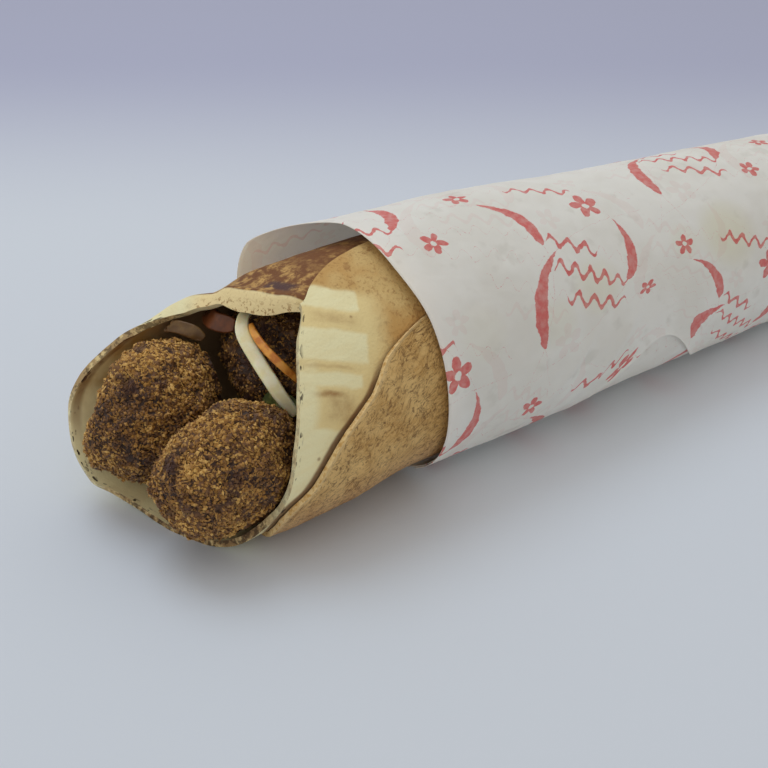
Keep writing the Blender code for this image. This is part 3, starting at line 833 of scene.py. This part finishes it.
breadLook = {
    "tan": shade(214, 182, 120),
    "gold": shade(200, 158, 94),
    "cream": shade(243, 235, 188),
    "buff": shade(238, 218, 158),
    "lip": shade(244, 222, 166),
    "toast": shade(156, 112, 62),
    "brown": shade(122, 78, 44),
    "burnt": shade(82, 58, 58),
    "char": shade(48, 33, 26),
    "inside": shade(194, 154, 82),
    # painted shade for the inside deep in the roll
    "deepShade": shade(150, 120, 88),
    "rim": shade(240, 224, 174),
    "skew": 0.65,               # the griddle's marks slant across the flap: degrees for each millimetre
    "waver": (7.0, 4.0),        # and waver by so many degrees, and millimetres
    # pale patches on the flap: slanted angle, half their width, how far back from the rim they reach
    "pale": ((19.8, 4.8, 19.5), (41.2, 6.8, 20.5), (55.8, 2.8, 18.3), (100, 24, 30)),
    # toasted marks: slanted angle, half width, softness, distance from the rim, half length, strength
    "toasted": ((61.5, 0.9, 1.8, 8.2, 3.8, 0.8), (67, 5.0, 7.0, 11.5, 4.0, 0.5),
                (29, 2.2, 3.0, 10, 8, 0.3), (50.5, 0.7, 1.2, 9, 7, 0.3)),
    "burntSpot": (359, 9.5, 7.4, 1.7),      # angle, half width, distance from the rim, half length
    "lipWidth": 2.5,
    # how wide the painted shadow beside the outer ply's edge is, in millimetres
    "plyEdgeShadow": 2.1,              # the dark line beside the outer ply's edge
}


def rimChar(recipe, flat, fromRim, reach, share):
    # small burnt dots that crowd along the front edge
    near = recipe.fall(fromRim, 0.2, reach)
    crowd = recipe.between(recipe.grain(flat, 7.0, 1.0), 0.40, 0.54)
    stretched = recipe.add("Mapping", {"Vector": flat, "Scale": (1.25, 0.62, 1.0)})
    dots = recipe.spots(stretched, 0.95, 0.7, share)
    return recipe.times(near, crowd, dots)


def flapMarks(recipe, angle, fromRim, ragged, mottle, flat):
    # the toasted marks and pale patches that the griddle left across the flap
    look = breadLook
    slant = recipe.less(angle, recipe.times(fromRim, look["skew"]))
    slant = recipe.plus(slant, recipe.times(ragged, look["waver"][0]))
    back = recipe.plus(fromRim, recipe.times(ragged, look["waver"][1]))
    streaks = recipe.grain(flat, 2.2, 2.0, stretch=(0.2, 1, 1))
    light = recipe.times(recipe.between(back, 21, 30, 0.85, 0.0), recipe.between(slant, 12, 20))
    recipe.coat(light, look["buff"])
    pale = recipe.times(recipe.fall(back, 3.0, 6.5), recipe.between(angle, 46, 60))
    for turn, half, reach in look["pale"]:
        patch = recipe.band(slant, turn, half, 2.4)
        patch = recipe.times(patch, recipe.fall(back, reach - 0.5, reach + 0.7))
        pale = recipe.most(pale, patch)
    paleness = recipe.times(pale, recipe.between(streaks, 0.35, 0.6, 0.80, 0.97))
    recipe.coat(paleness, look["cream"])
    for turn, half, soft, middle, reach, strength in look["toasted"]:
        mark = recipe.times(recipe.band(slant, turn, half, soft), recipe.band(back, middle, reach, 5.0))
        mark = recipe.times(mark, recipe.between(mottle, 0.30, 0.62, 0.45, 1.0))
        recipe.coat(recipe.times(mark, strength), look["toast"])


def breadSkin():
    recipe, place = newFinish("flatbreadSkin", 0.7, 0.3)
    look = breadLook
    angle, fromRim = sheetPlace(recipe)
    flat = flatPlace(recipe, angle, fromRim, roll["breadSheet"])
    wide = recipe.grain(place, 11.0, 3.0)
    ragged = recipe.less(wide, 0.5)
    mottle = recipe.grain(place, 3.6, 4.0, 0.68)
    fine = recipe.grain(place, 0.9, 3.0, 0.65)
    recipe.colour = recipe.mix(recipe.between(wide, 0.36, 0.62), look["tan"], look["gold"])
    blotches = recipe.between(mottle, 0.52, 0.68, 0.0, 0.6)
    recipe.coat(blotches, look["toast"])
    recipe.coat(recipe.between(fine, 0.5, 0.7, 0.0, 0.5), look["toast"])
    flapMarks(recipe, angle, fromRim, ragged, mottle, flat)
    # the sheet under the flap is toasted dark behind its pale lip, and is painted darker still further
    # back towards the paper: painted shade, where the paper shades it
    onTop = recipe.between(angle, 306, 316)
    lipEdge = recipe.plus(fromRim, recipe.times(ragged, 1.6))
    behindLip = recipe.between(lipEdge, look["lipWidth"] - 0.35, look["lipWidth"] + 0.35)
    brown = recipe.mix(recipe.between(mottle, 0.36, 0.56), look["gold"], look["brown"])
    softRim = recipe.plus(fromRim, recipe.times(ragged, 9.0))
    # painted shade of the paper, growing away from the rim
    paperShade = recipe.between(softRim, 13, 19)
    brown = recipe.mix(recipe.times(paperShade, 0.72), brown, look["brown"])
    blobs = recipe.between(recipe.grain(place, 3.4, 1.0, 0.4), 0.60, 0.70, 0.0, 0.7)
    brown = recipe.mix(blobs, brown, look["gold"])
    brown = recipe.mix(recipe.between(fine, 0.52, 0.66, 0.0, 0.65), brown, look["brown"])
    turn, half, middle, reach = look["burntSpot"]
    scorch = recipe.times(recipe.band(angle, turn, half, 6.0), recipe.band(lipEdge, middle, reach, 1.6),
                          recipe.between(mottle, 0.30, 0.46))
    brown = recipe.mix(recipe.times(scorch, 0.92), brown, look["burnt"])
    recipe.coat(recipe.times(onTop, behindLip), brown)
    onLip = recipe.times(onTop, recipe.less(1.0, behindLip))
    recipe.coat(onLip, look["lip"])
    lipSpecks = recipe.between(recipe.grain(place, 1.1, 2.0, 0.6), 0.54, 0.62)
    lipSpecks = recipe.times(lipSpecks, recipe.between(fromRim, 0.2, 1.6, 1.0, 0.25))
    recipe.coat(recipe.times(lipSpecks, onLip, 0.75), look["toast"])
    # a painted shadow beside the outer ply's raised edge
    toPly = recipe.add("Attribute", output=2, attribute_name="toPly")
    plyEdgeShadow = recipe.between(recipe.plus(toPly, ragged), -look["plyEdgeShadow"], -0.7)
    plyEdgeShadow = recipe.times(plyEdgeShadow, recipe.between(angle, 60, 72, 0.25, 1.0), recipe.fall(angle, 150, 170))
    recipe.coat(recipe.times(plyEdgeShadow, 0.85), look["brown"])
    # a few dark dots all over, and the burnt front edge
    dots = recipe.spots(place, 6.5, 0.75, 0.3)
    recipe.coat(recipe.times(dots, 0.85), look["brown"])
    notLip = recipe.fall(angle, 304, 312)
    recipe.coat(recipe.times(rimChar(recipe, flat, fromRim, 1.5, 0.75), notLip), look["char"])
    return lay(recipe, recipe.plus(fine, recipe.times(mottle, 1.5)), 0.16)


def breadInside():
    recipe, place = newFinish("flatbreadInside", 0.75, 0.25)
    look = breadLook
    angle, fromRim = sheetPlace(recipe)
    flat = flatPlace(recipe, angle, fromRim, roll["breadSheet"])
    wide = recipe.grain(place, 9.0, 3.0)
    recipe.colour = recipe.mix(recipe.between(wide, 0.38, 0.62), look["inside"], look["buff"])
    low = recipe.times(recipe.band(angle, 205, 62, 30), 0.75)
    recipe.coat(low, look["cream"])
    # towards the top the inside is painted darker, toasted and then brown: painted shade, where the upper
    # wall faces down, away from the light
    recipe.coat(recipe.between(angle, 256, 284, 0.0, 0.25), look["toast"])
    high = recipe.times(recipe.between(angle, 276, 302), recipe.between(wide, 0.3, 0.6, 0.3, 0.85))
    recipe.coat(high, look["brown"])
    # deeper into the roll the inside is painted darker: painted shade
    depth = recipe.plus(recipe.split(place)[0], recipe.times(wide, 10.0))
    deepShade = recipe.between(depth, -10 - rollMiddle, 4 - rollMiddle, 0.0, 0.95)
    recipe.coat(deepShade, look["deepShade"])
    charred = rimChar(recipe, flat, fromRim, 3.4, 0.85)
    top = recipe.times(recipe.between(angle, 236, 262), recipe.fall(angle, 312, 322))
    charred = recipe.times(charred, recipe.most(top, recipe.fall(fromRim, 0.8, 1.6)))
    recipe.coat(charred, look["char"])
    # a band of painted shade just inside the upper rim
    rimShade = recipe.times(top, recipe.band(fromRim, 1.6, 1.2, 1.4))
    recipe.coat(recipe.times(rimShade, 0.55), look["brown"])
    fine = recipe.grain(place, 1.0, 3.0, 0.6)
    return lay(recipe, fine, 0.1)


def breadEdge():
    recipe, place = newFinish("flatbreadEdge", 0.75, 0.25)
    look = breadLook
    angle, fromRim = sheetPlace(recipe)
    wide = recipe.grain(place, 4.0, 3.0)
    recipe.colour = recipe.mix(recipe.between(wide, 0.42, 0.6), look["rim"], look["cream"])
    # along the bottom and the upper far side the edge is baked brown and burnt in dashes
    under = recipe.times(recipe.between(angle, 116, 134), recipe.fall(angle, 212, 226))
    far = recipe.times(recipe.between(angle, 256, 272, 0.0, 0.8), recipe.fall(angle, 304, 312))
    burnt = recipe.most(under, far)
    share = recipe.times(recipe.most(burnt, 0.35), recipe.between(angle, 306, 314, 1.0, 0.1))
    recipe.coat(recipe.times(burnt, 0.7), look["tan"])
    baked = recipe.between(recipe.grain(place, 3.0, 4.0, 0.7), 0.40, 0.54, 0.0, 0.7)
    recipe.coat(recipe.times(baked, share), look["brown"])
    dashes = recipe.between(recipe.grain(place, 1.7, 2.0, 0.6), 0.50, 0.57)
    recipe.coat(recipe.times(dashes, share, 0.7), look["char"])
    return lay(recipe, recipe.grain(place, 0.8, 3.0, 0.6), 0.12)


plyLook = {
    "light": shade(228, 190, 124),
    "mid": shade(200, 156, 90),
    "dark": shade(104, 70, 38),
    "pink": shade(190, 146, 112),
    "edge": shade(236, 206, 150),
}


def plySkin(name="outerPlySkin"):
    recipe, place = newFinish(name, 0.7, 0.3)
    angle, fromRim = sheetPlace(recipe)
    flat = flatPlace(recipe, angle, fromRim, roll["paperSheet"])
    wide = recipe.grain(place, 9.0, 3.0)
    drift = recipe.add("TexNoise", {"Vector": place, "Scale": 0.22, "Detail": 1.0}, output=1)
    warped = recipe.moved(flat, recipe.scaled(drift, 7.0))
    slanted = recipe.add("Mapping", {"Vector": warped, "Rotation": (0, 0, math.radians(24)),
                                     "Scale": (1.0, 0.5, 1.0)})
    fibres = recipe.grain(slanted, 0.85, 3.0, 0.7, twist=0.8)
    flecks = recipe.grain(place, 1.5, 4.0, 0.7)
    recipe.colour = recipe.mix(recipe.between(wide, 0.36, 0.62), plyLook["mid"], plyLook["light"])
    low = recipe.times(recipe.between(angle, 100, 132), 0.6)
    recipe.coat(low, plyLook["pink"])
    recipe.coat(recipe.between(fibres, 0.5, 0.62, 0.0, 0.5), plyLook["light"])
    pores = recipe.fall(fibres, 0.36, 0.50)
    crowd = recipe.between(recipe.grain(place, 7.0, 2.0), 0.36, 0.6, 0.4, 0.75)
    recipe.coat(recipe.times(pores, crowd), plyLook["dark"])
    recipe.coat(recipe.between(flecks, 0.53, 0.66, 0.0, 0.62), plyLook["dark"])
    # a painted highlight along the ply's front edge
    lit = recipe.between(fromRim, 0.3, 1.8, 0.55, 0.0)
    recipe.coat(lit, plyLook["edge"])
    return lay(recipe, recipe.plus(fibres, flecks), 0.45)


def plyEdgeFinish():
    recipe, place = newFinish("outerPlyEdge", 0.75, 0.25)
    fine = recipe.grain(place, 1.1, 3.0, 0.6)
    recipe.colour = recipe.mix(recipe.between(fine, 0.4, 0.7), plyLook["edge"], plyLook["mid"])
    return lay(recipe, fine, 0.15)


paperLook = {
    "white": shade(254, 249, 236),
    "grey": shade(242, 235, 220),
    "grease": shade(232, 222, 172),
    "damp": shade(222, 214, 198),
    "ink": shade(222, 84, 82),
    "inside": shade(248, 240, 230),
    # grease stains: angle on the roll, place along it, size in millimetres, strength
    "stains": ((63, 92, 9, 0.3), (72, 76, 7, 0.2), (56, 146, 12, 0.45), (53, 128, 6, 0.2),
               (66, 52, 8, 0.15)),
    "tile": (59.0, 66.0),       # the print repeats after this much, along the roll and round it
}


def inkShapes():
    # the print as a group: a place on the flat sheet goes in, in millimetres, and the ink there comes out
    tree = bpy.data.node_groups.new("pepperPrint", "ShaderNodeTree")
    tree.interface.new_socket("Place", in_out="INPUT", socket_type="NodeSocketVector")
    tree.interface.new_socket("Ink", in_out="OUTPUT", socket_type="NodeSocketFloat")
    start = tree.nodes.new("NodeGroupInput")
    end = tree.nodes.new("NodeGroupOutput")
    recipe = Recipe(tree)
    wobble = recipe.add("TexNoise", {"Vector": start.outputs[0], "Scale": 0.35, "Detail": 1.0}, output=1)
    wobble = recipe.scaled(recipe.moved(wobble, (0.5, 0.5, 0.5), "SUBTRACT"), 1.5)
    place = recipe.moved(start.outputs[0], wobble)
    parts = recipe.split(place)
    wide, deep = paperLook["tile"]
    column = recipe.math("FLOOR", recipe.math("DIVIDE", parts[0], wide))
    odd = recipe.math("MODULO", recipe.math("ABSOLUTE", column), 2.0)
    shifted = recipe.plus(parts[1], recipe.times(odd, deep / 2))
    inColumn = recipe.add("Math", {0: parts[0], 1: wide, 2: 0.0}, operation="WRAP")
    inRow = recipe.add("Math", {0: shifted, 1: deep, 2: 0.0}, operation="WRAP")
    cell = recipe.add("CombineXYZ", {0: recipe.less(inColumn, wide / 2),
                                     1: recipe.less(inRow, deep / 2)})

    def turned(centre, angle, mirror=1):
        spun = recipe.add("VectorRotate", {"Vector": recipe.moved(cell, (*centre, 0), "SUBTRACT"),
                                           "Angle": math.radians(angle)}, rotation_type="Z_AXIS")
        own = recipe.split(spun)
        return own[0], recipe.times(own[1], mirror)

    def pepper(centre, angle, length, thick, bend, mirror=1):
        # a bent pod that tapers to a point
        px, py = turned(centre, angle, mirror)
        py = recipe.less(py, recipe.times(px, px, bend))
        t = recipe.math("DIVIDE", px, length)
        body = recipe.math("SUBTRACT", 1.0, recipe.times(t, t), clamp=True)
        lean = recipe.less(1.0, recipe.times(t, 0.55))
        half = recipe.times(recipe.math("SQRT", body), lean, thick)
        return recipe.less(half, recipe.math("ABSOLUTE", py))

    def ripple(centre, angle, length, thick, height, pitch):
        # a wavy pen line
        px, py = turned(centre, angle)
        sway = recipe.math("SINE", recipe.times(px, 2 * math.pi / pitch))
        t = recipe.math("DIVIDE", px, length)
        ends = recipe.math("POWER", recipe.math("ABSOLUTE", t), 4.0)
        body = recipe.math("SUBTRACT", 1.0, ends, clamp=True)
        half = recipe.times(recipe.math("SQRT", body), thick)
        off = recipe.less(py, recipe.times(sway, height))
        return recipe.less(half, recipe.math("ABSOLUTE", off))

    def bloom(centre, angle, size):
        # a small five-petalled flower
        px, py = turned(centre, angle)
        around = recipe.math("ARCTAN2", py, px)
        petal = recipe.math("ABSOLUTE", recipe.math("COSINE", recipe.times(around, 2.5)))
        reach = recipe.plus(recipe.times(petal, size * 0.62), size * 0.38)
        square = recipe.plus(recipe.times(px, px), recipe.times(py, py))
        far = recipe.math("SQRT", square)
        ring = recipe.less(reach, far)
        return recipe.math("MINIMUM", ring, recipe.less(far, size * 0.22))

    shapes = [pepper((-16, 8), 62, 13, 1.9, 0.026), pepper((-11, -14), 118, 10, 1.7, 0.03, -1),
              ripple((2, 15), -24, 11, 0.85, 1.5, 5.6), ripple((3, 7), -24, 13, 0.85, 1.5, 4.8),
              ripple((0, -2), -24, 8, 0.85, 1.4, 5.2), bloom((13, -13), 20, 4.8),
              bloom((21, 20), 50, 3.6), pepper((19, 3), 78, 9.5, 1.6, -0.03),
              ripple((4, -23), -20, 10, 0.8, 1.4, 5.2), bloom((-20, -27), 10, 3.4)]
    nearest = recipe.most(*shapes)
    rough = recipe.add("TexNoise", {"Vector": place, "Scale": 2.4, "Detail": 2.0})
    nearest = recipe.plus(nearest, recipe.times(recipe.less(rough, 0.5), 0.5))
    recipe.put(end.inputs[0], recipe.between(nearest, -0.1, 0.12))
    return tree


def printed(recipe, group, flat, shift=(0, 0, 0)):
    node = recipe.tree.nodes.new("ShaderNodeGroup")
    node.node_tree = group
    recipe.put(node.inputs[0], recipe.moved(flat, shift))
    return node.outputs[0]


def paperFinish(name, inside, group):
    recipe, place = newFinish(name, 0.58, 0.3, 0.5, (1.0, 0.92, 0.84))
    angle, along = sheetPlace(recipe)
    flat = flatPlace(recipe, angle, along, roll["paperSheet"])
    wide = recipe.grain(place, 20.0, 3.0)
    base = paperLook["inside"] if inside else paperLook["white"]
    recipe.colour = recipe.mix(recipe.between(wide, 0.40, 0.64, 0.0, 0.7), base, paperLook["grey"])
    damp = recipe.between(recipe.grain(place, 8.0, 3.0, 0.55), 0.58, 0.72, 0.0, 0.45)
    recipe.coat(damp, paperLook["damp"])
    for turn, x, size, strength in paperLook["stains"]:
        across = recipe.less(angle, turn - sleeve["start"])
        across = recipe.times(across, math.radians(1) * roll["paperSheet"] / size)
        down = recipe.math("DIVIDE", recipe.less(along, x), size)
        far = recipe.plus(recipe.times(across, across), recipe.times(down, down))
        far = recipe.plus(far, recipe.times(wide, 1.2))
        recipe.coat(recipe.between(far, 0.5, 1.9, strength, 0.0), paperLook["grease"])
    below = recipe.times(printed(recipe, group, flat, (23, 31, 0)), 0.08)
    recipe.coat(below, paperLook["ink"])
    strength = 0.24 if inside else 0.93
    uneven = recipe.between(recipe.grain(place, 1.6, 3.0), 0.3, 0.7, 0.8 * strength, strength)
    recipe.coat(recipe.times(printed(recipe, group, flat), uneven), paperLook["ink"])
    fibre = recipe.grain(place, 3.4, 4.0, 0.55)
    soft = recipe.grain(place, 11.0, 2.0, 0.5, twist=0.8, stretch=(0.6, 1.0, 1.0))
    return lay(recipe, recipe.plus(recipe.times(fibre, 0.25), soft), 0.55)


def crustFinish():
    recipe, place = newFinish("friedCrust", 0.55, 0.45)
    rise = recipe.add("Attribute", output=2, attribute_name="rise")
    toneAndShade = recipe.add("Attribute", output=2, attribute_name="toneAndShade")
    wide = recipe.grain(place, 9.0, 2.0)
    patches = recipe.grain(place, 4.0, 3.0, 0.6)
    fine = recipe.grain(place, 0.7, 3.0, 0.7)
    # the colour follows how far a point stands out: painted shade in the crevices and painted highlight,
    # golden to pale, on raised lumps and crumbs; the noise patches are the crust's own colour, and the
    # fried tone brings its own colour with painted shade mixed in
    level = recipe.plus(recipe.times(rise, 0.6), recipe.times(wide, 0.5), recipe.times(patches, 0.5),
                        recipe.times(fine, 0.15), recipe.times(toneAndShade, 0.5))
    recipe.colour = recipe.mix(recipe.between(level, 0.60, 0.94), crust["dark"], crust["brown"])
    recipe.coat(recipe.between(level, 0.94, 1.20), crust["golden"])
    recipe.coat(recipe.between(level, 1.20, 1.46), crust["pale"])
    scorch = recipe.between(recipe.grain(place, 7.0, 3.0, 0.6), 0.55, 0.65, 0.0, 0.72)
    recipe.coat(scorch, crust["scorched"])
    return lay(recipe, fine, 0.2)


def freshFinish(name, light, dark, size, roughness, soft):
    recipe, place = newFinish(name, roughness, 0.5, soft)
    veins = recipe.grain(place, size, 3.0, 0.5)
    recipe.colour = recipe.mix(recipe.between(veins, 0.38, 0.64), dark, light)
    return lay(recipe, veins, 0.15)


packed = {"dark": shade(44, 26, 18), "brown": shade(104, 72, 40), "leaf": shade(70, 84, 38), "chunks": 4.0}


def packedFilling():
    recipe, place = newFinish("packedFilling", 0.7, 0.4)
    chunks = recipe.grain(place, packed["chunks"], 4.0, 0.7)
    recipe.colour = recipe.mix(recipe.between(chunks, 0.4, 0.62), packed["dark"], packed["brown"])
    leaf = recipe.between(recipe.grain(place, 7.0, 2.0), 0.58, 0.64)
    recipe.coat(leaf, packed["leaf"])
    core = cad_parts["filling"]
    core.data.materials.clear()
    core.data.materials.append(lay(recipe, chunks, 0.8))


makeFlatbread([breadSkin(), breadInside(), breadEdge()])
makeOuterPly([plySkin(), plySkin("outerPlyInside"), plyEdgeFinish()])
pepperPrint = inkShapes()
paperOutside = paperFinish("paperOutside", False, pepperPrint)
makeSleeve([paperOutside, paperFinish("paperInside", True, pepperPrint)])
crustMaterial = crustFinish()
for falafelName in falafels:
    makeFalafel(falafelName, crustMaterial)
for stripName in strips:
    makeStrip(stripName)
packedFilling()
print("finishes laid on")

studio = {
    "floorSize": 6.0,
    "floor": shade(216, 223, 232),
    "farFloor": shade(181, 185, 209),
    "fadeWay": (0.58, 0.82),    # which way over the floor it darkens, and from where to where
    "fade": (100, 330),
    "sky": (0.58, 0.555, 0.525),
    "lamp": (0.78, 0.88, 1.0),
    "keyPlace": (-0.10, 0.28, 0.75),
    "keySize": 0.5,
    "keyPower": 1.3,
    "softPlace": (-0.15, 0.10, 1.4),
    "softSize": 1.6,
    "softPower": 2.2,
}
view = {
    "aim": (35.3, -12.6, 29.6),     # in the roll's millimetres
    "distance": 0.330,
    "turn": -35.26,
    "height": 31.36,
    "lens": 60.94,
}


def makeFloor():
    bm = bmesh.new()
    bmesh.ops.create_grid(bm, x_segments=2, y_segments=2, size=studio["floorSize"] / 2)
    mesh = bpy.data.meshes.new("floor")
    bm.to_mesh(mesh)
    bm.free()
    floor = bpy.data.objects.new("floor", mesh)
    bpy.context.scene.collection.objects.link(floor)
    recipe, place = newFinish("floorPaint", 0.75, 0.2)
    spot = recipe.split(place)
    across, along = studio["fadeWay"]
    away = recipe.plus(recipe.times(spot[0], across), recipe.times(spot[1], along))
    far = recipe.between(away, *studio["fade"])
    recipe.put(recipe.shader.inputs["Base Color"], recipe.mix(far, studio["floor"], studio["farFloor"]))
    mesh.materials.append(recipe.material)


def makeLight(name, place, size, power):
    lamp = bpy.data.lights.new(name, "AREA")
    lamp.shape = "DISK"
    lamp.size = size
    lamp.energy = power
    lamp.color = studio["lamp"]
    holder = bpy.data.objects.new(name, lamp)
    holder.location = place
    holder.rotation_euler = Vector(place).to_track_quat("Z", "Y").to_euler()
    bpy.context.scene.collection.objects.link(holder)


def makeCamera():
    camera = bpy.data.cameras.new("camera")
    camera.lens = view["lens"]
    camera.sensor_width = 36.0
    camera.clip_start = 0.01
    turn, height = math.radians(view["turn"]), math.radians(view["height"])
    level = math.cos(height)
    back = Vector((math.sin(turn) * level, -math.cos(turn) * level, math.sin(height)))
    holder = bpy.data.objects.new("camera", camera)
    holder.location = placed(Vector(view["aim"])) + back * view["distance"]
    holder.rotation_euler = back.to_track_quat("Z", "Y").to_euler()
    bpy.context.scene.collection.objects.link(holder)
    bpy.context.scene.camera = holder


makeFloor()
makeLight("key", studio["keyPlace"], studio["keySize"], studio["keyPower"])
makeLight("softbox", studio["softPlace"], studio["softSize"], studio["softPower"])
world = bpy.data.worlds.new("studioAir")
world.use_nodes = True
world.node_tree.nodes["Background"].inputs["Color"].default_value = (*studio["sky"], 1.0)
bpy.context.scene.world = world
bpy.context.scene.view_settings.view_transform = "Standard"
makeCamera()
print("studio set")
